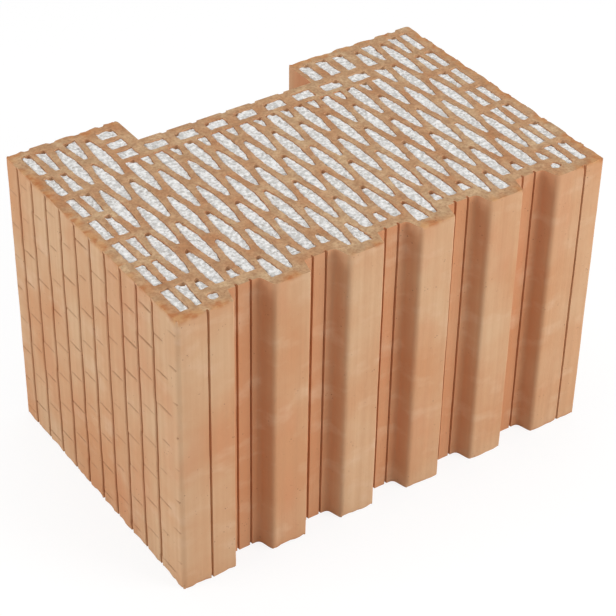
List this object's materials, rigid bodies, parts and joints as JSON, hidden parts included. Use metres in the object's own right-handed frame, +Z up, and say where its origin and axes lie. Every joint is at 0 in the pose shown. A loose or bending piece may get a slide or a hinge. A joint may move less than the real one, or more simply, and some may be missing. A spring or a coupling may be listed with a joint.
{
  "type": "filled hollow clay block",
  "caption": "Tall clay wall block with staggered lens-shaped cells filled with insulation, tongues and grooves on one side and a jamb recess on the other.",
  "frame": {"origin": "centre of the block's box on its bed face", "axes": "+Z up along the cells, +X through the wall from the scored face in the picture, +Y along the wall towards the recess"},
  "size_m": [0.38, 0.25, 0.249],
  "materials": {
    "fired_clay": "matt fired clay, extruded sides, top and bottom ground flat",
    "insulation": "white expanded beads, matt"
  },
  "bodies": {
    "root": {"clay_block": "fired_clay", "insulation_infill": "insulation"}
  },
  "joints": []
}
